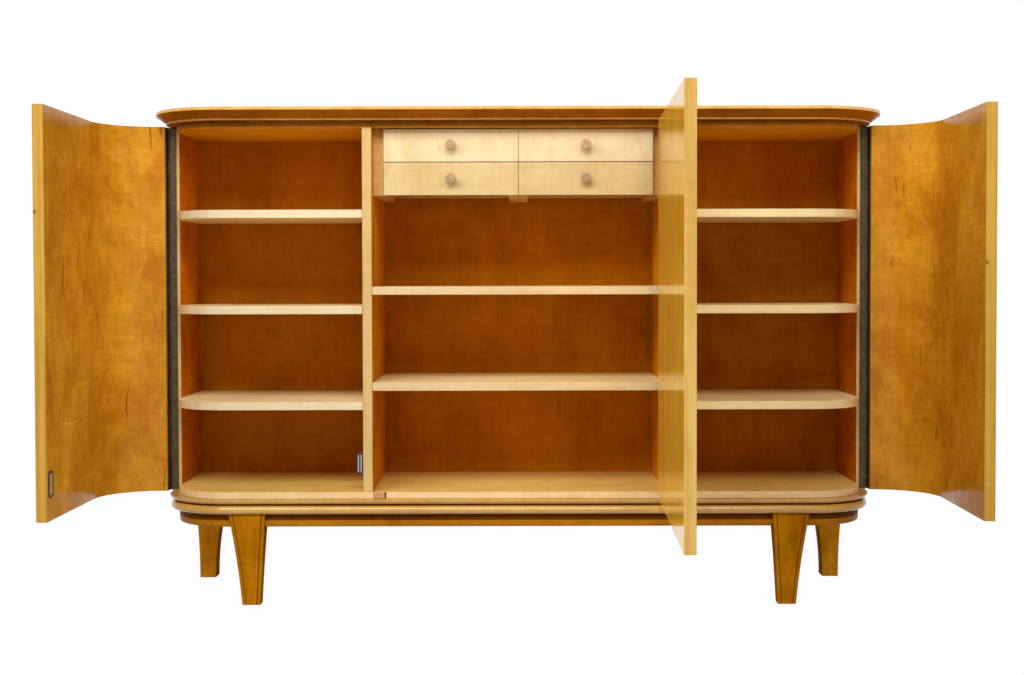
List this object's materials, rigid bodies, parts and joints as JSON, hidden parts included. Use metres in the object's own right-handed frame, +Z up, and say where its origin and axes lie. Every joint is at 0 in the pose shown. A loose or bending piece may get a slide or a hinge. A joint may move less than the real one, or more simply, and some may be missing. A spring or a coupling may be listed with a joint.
{
  "type": "sideboard",
  "caption": "Long sideboard on tapered legs with curved end doors, a flat middle door, shelves on pins and small drawers behind the middle door.",
  "frame": {"origin": "on the floor, at the middle of the area that the sideboard takes up with its doors standing open as in the picture", "axes": "+X to the right seen from the front, +Y to the back, +Z up"},
  "size_m": [1.8472, 1.0111, 1.06],
  "materials": {
    "birch_honey": "clear gloss lacquer",
    "birch_pale": "clear satin lacquer",
    "birch_amber": "amber lacquer",
    "steel_grey": "dull grey steel",
    "catch_brown": "dark brown moulded plastic",
    "pole_steel": "bright steel",
    "pad_red": "reddish felt"
  },
  "bodies": {
    "carcass": {"top_board": "birch_honey", "carcass_top": "birch_amber", "bottom_board": "birch_honey", "side_panel_left": "birch_honey", "side_panel_right": "birch_honey", "divider_left": "birch_pale", "divider_right": "birch_pale", "back_panel": "birch_amber", "base_moulding": "birch_honey", "base_apron": "birch_amber", "leg_front_left": "birch_amber", "leg_front_right": "birch_amber", "leg_back_left": "birch_amber", "leg_back_right": "birch_amber", "shelf_left_1": "birch_pale", "shelf_left_2": "birch_pale", "shelf_left_3": "birch_pale", "shelf_centre_1": "birch_pale", "shelf_centre_2": "birch_pale", "shelf_right_1": "birch_pale", "shelf_right_2": "birch_pale", "shelf_right_3": "birch_pale", "drawer_guide_left": "birch_pale", "drawer_guide_centre": "birch_pale", "drawer_guide_right": "birch_pale", "hinge_left_carcass_leaf": "steel_grey", "hinge_left_pin": "steel_grey", "hinge_right_carcass_leaf": "steel_grey", "hinge_right_pin": "steel_grey", "hinge_middle_carcass_leaf": "steel_grey", "hinge_middle_pin": "steel_grey", "catch_case": "catch_brown", "catch_pole_1": "pole_steel", "catch_pole_2": "pole_steel", "door_pad": "pad_red"},
    "left_door": {"door_left": "birch_honey", "hinge_left_door_leaf": "steel_grey", "catch_strike": "catch_brown"},
    "right_door": {"door_right": "birch_honey", "hinge_right_door_leaf": "steel_grey"},
    "middle_door": {"door_middle": "birch_honey", "hinge_middle_door_leaf": "steel_grey"},
    "drawer_lower_left": {"drawer_lower_left_front": "birch_pale", "drawer_lower_left_box": "birch_pale", "drawer_lower_left_bottom": "birch_pale", "drawer_lower_left_knob": "birch_pale"},
    "drawer_lower_right": {"drawer_lower_right_front": "birch_pale", "drawer_lower_right_box": "birch_pale", "drawer_lower_right_bottom": "birch_pale", "drawer_lower_right_knob": "birch_pale"},
    "drawer_upper_left": {"drawer_upper_left_front": "birch_pale", "drawer_upper_left_box": "birch_pale", "drawer_upper_left_bottom": "birch_pale", "drawer_upper_left_knob": "birch_pale"},
    "drawer_upper_right": {"drawer_upper_right_front": "birch_pale", "drawer_upper_right_box": "birch_pale", "drawer_upper_right_bottom": "birch_pale", "drawer_upper_right_knob": "birch_pale"}
  },
  "joints": [
    {"name": "left_door_hinge", "type": "hinge", "parent": "carcass", "child": "left_door", "pos_m": [-0.7745, 0.28708, 0.632], "axis": [0, 0, -1], "range_deg": [-90.3, 79.7]},
    {"name": "right_door_hinge", "type": "hinge", "parent": "carcass", "child": "right_door", "pos_m": [0.7745, 0.28708, 0.632], "axis": [0, 0, 1], "range_deg": [-88.5, 81.5]},
    {"name": "middle_door_hinge", "type": "hinge", "parent": "carcass", "child": "middle_door", "pos_m": [0.3195, 0.13478, 0.632], "axis": [0, 0, 1], "range_deg": [-88.4, 46.6]},
    {"name": "drawer_lower_left_slide", "type": "slide", "parent": "carcass", "child": "drawer_lower_left", "axis": [0, -1, 0], "range_m": [0, 0.24]},
    {"name": "drawer_lower_right_slide", "type": "slide", "parent": "carcass", "child": "drawer_lower_right", "axis": [0, -1, 0], "range_m": [0, 0.24]},
    {"name": "drawer_upper_left_slide", "type": "slide", "parent": "carcass", "child": "drawer_upper_left", "axis": [0, -1, 0], "range_m": [0, 0.24]},
    {"name": "drawer_upper_right_slide", "type": "slide", "parent": "carcass", "child": "drawer_upper_right", "axis": [0, -1, 0], "range_m": [0, 0.24]}
  ]
}
